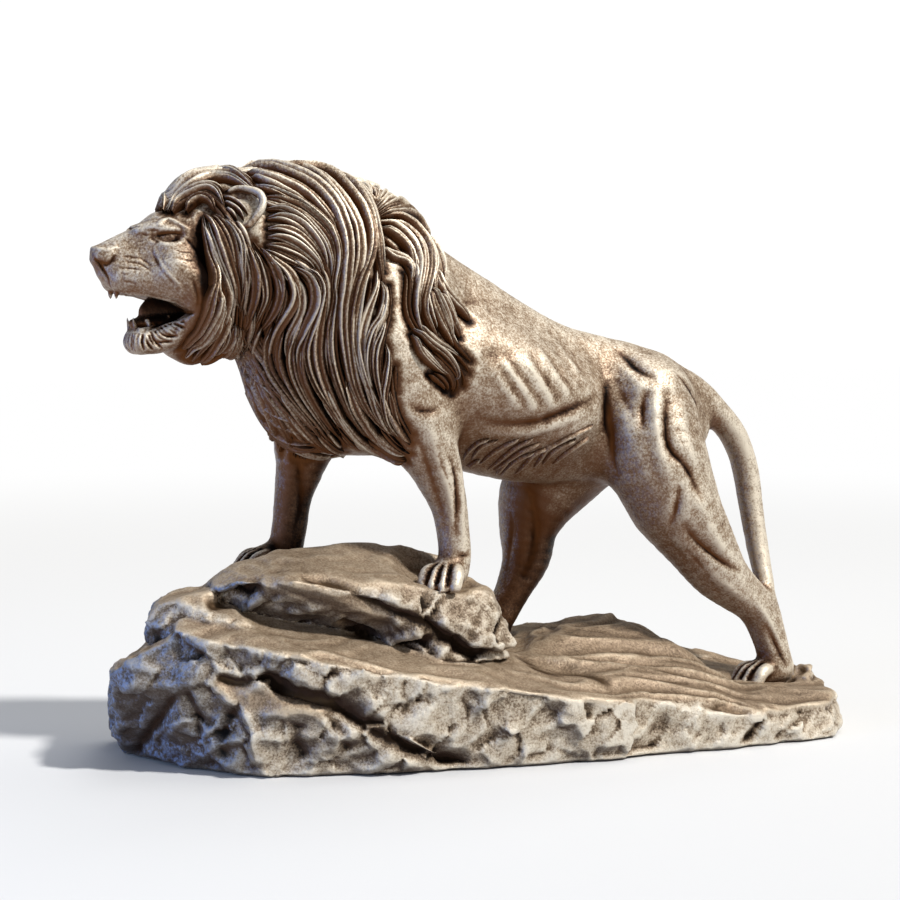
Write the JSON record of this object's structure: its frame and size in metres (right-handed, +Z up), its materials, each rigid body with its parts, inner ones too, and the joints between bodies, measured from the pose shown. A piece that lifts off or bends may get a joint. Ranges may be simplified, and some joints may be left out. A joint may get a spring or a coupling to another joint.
{
  "type": "lion sculpture",
  "caption": "Tabletop bronze of a lion standing on a stepped rock, mouth open, with a full mane and a hanging tail.",
  "frame": {"origin": "middle of the rock's flat underside", "axes": "+Z up; the lion looks along -X, and its left side faces -Y"},
  "size_m": [0.465, 0.1865, 0.3484],
  "materials": {
    "lion_bronze": "patinated",
    "rock_bronze": "patinated"
  },
  "bodies": {
    "root": {"lion": "lion_bronze", "rock_base": "rock_bronze"}
  },
  "joints": []
}
